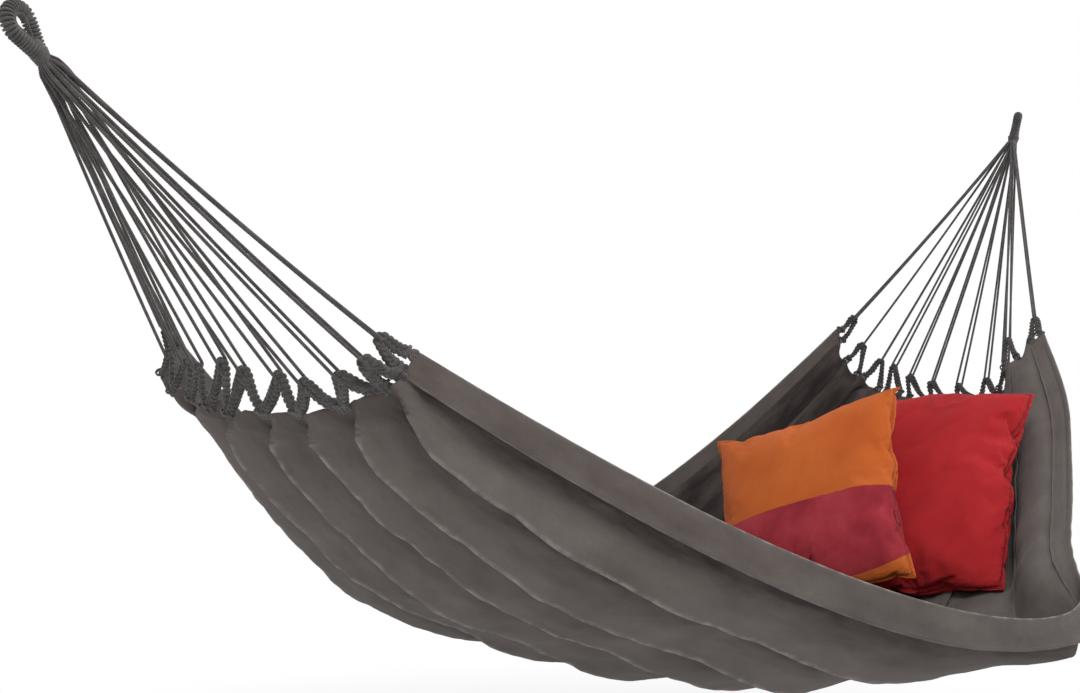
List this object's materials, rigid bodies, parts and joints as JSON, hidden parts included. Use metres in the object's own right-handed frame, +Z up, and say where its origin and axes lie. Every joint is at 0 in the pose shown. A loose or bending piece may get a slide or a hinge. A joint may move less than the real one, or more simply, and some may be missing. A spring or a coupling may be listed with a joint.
{
  "type": "hammock",
  "caption": "Cloth hammock without spreader bars: gathered bed with side hems, cord fans and served end loops, with two loose square cushions.",
  "frame": {"origin": "where the near hook bears, inside the top of the near end loop", "axes": "+X from the near end loop towards the far one, +Z up, +Y towards the off side"},
  "size_m": [2.6182, 1.2753, 1.1549],
  "materials": {
    "cloth": "matte woven cotton canvas",
    "cordage": "matte twisted cotton cord",
    "orange_cloth": "matte woven cotton, orange with a crimson panel",
    "red_cloth": "matte woven cotton",
    "filling": "white fibre filling"
  },
  "bodies": {
    "near_loop": {"near_loop_core": "cordage", "near_loop_serving": "cordage", "near_neck_whipping": "cordage"},
    "sling": {"cloth_bed": "cloth", "near_side_hem": "cloth", "off_side_hem": "cloth", "near_braid_loop_01": "cordage", "near_cord_01": "cordage", "near_braid_loop_02": "cordage", "near_cord_02": "cordage", "near_braid_loop_03": "cordage", "near_cord_03": "cordage", "near_braid_loop_04": "cordage", "near_cord_04": "cordage", "near_braid_loop_05": "cordage", "near_cord_05": "cordage", "near_braid_loop_06": "cordage", "near_cord_06": "cordage", "near_braid_loop_07": "cordage", "near_cord_07": "cordage", "near_braid_loop_08": "cordage", "near_cord_08": "cordage", "near_braid_loop_09": "cordage", "near_cord_09": "cordage", "near_braid_loop_10": "cordage", "near_cord_10": "cordage", "near_braid_loop_11": "cordage", "near_cord_11": "cordage", "far_braid_loop_01": "cordage", "far_cord_01": "cordage", "far_braid_loop_02": "cordage", "far_cord_02": "cordage", "far_braid_loop_03": "cordage", "far_cord_03": "cordage", "far_braid_loop_04": "cordage", "far_cord_04": "cordage", "far_braid_loop_05": "cordage", "far_cord_05": "cordage", "far_braid_loop_06": "cordage", "far_cord_06": "cordage", "far_braid_loop_07": "cordage", "far_cord_07": "cordage", "far_braid_loop_08": "cordage", "far_cord_08": "cordage", "far_braid_loop_09": "cordage", "far_cord_09": "cordage", "far_braid_loop_10": "cordage", "far_cord_10": "cordage", "far_braid_loop_11": "cordage", "far_cord_11": "cordage"},
    "far_loop": {"far_loop_core": "cordage", "far_loop_serving": "cordage", "far_neck_whipping": "cordage"},
    "orange_cushion": {"orange_cushion_cover": "orange_cloth", "orange_cushion_filling": "filling"},
    "red_cushion": {"red_cushion_cover": "red_cloth", "red_cushion_filling": "filling"}
  },
  "joints": [
    {"name": "sling_swing", "type": "hinge", "parent": "near_loop", "child": "sling", "pos_m": [0.0198, 0, -0.05158], "axis": [0.9994, 0, 0.034], "range_deg": [-35, 35]},
    {"name": "far_loop_pivot", "type": "hinge", "parent": "sling", "child": "far_loop", "pos_m": [2.5498, 0, 0.03442], "axis": [0.9994, 0, 0.034], "range_deg": [-35, 35]},
    {"name": "orange_cushion_lift", "type": "slide", "parent": "sling", "child": "orange_cushion", "axis": [-0.2924, 0, 0.9563], "range_m": [0, 0.3]},
    {"name": "red_cushion_lift", "type": "slide", "parent": "sling", "child": "red_cushion", "axis": [0.454, 0, 0.891], "range_m": [0, 0.3]}
  ],
  "couplings": [
    {"joint": "far_loop_pivot", "follows": "sling_swing", "ratio": -1}
  ]
}
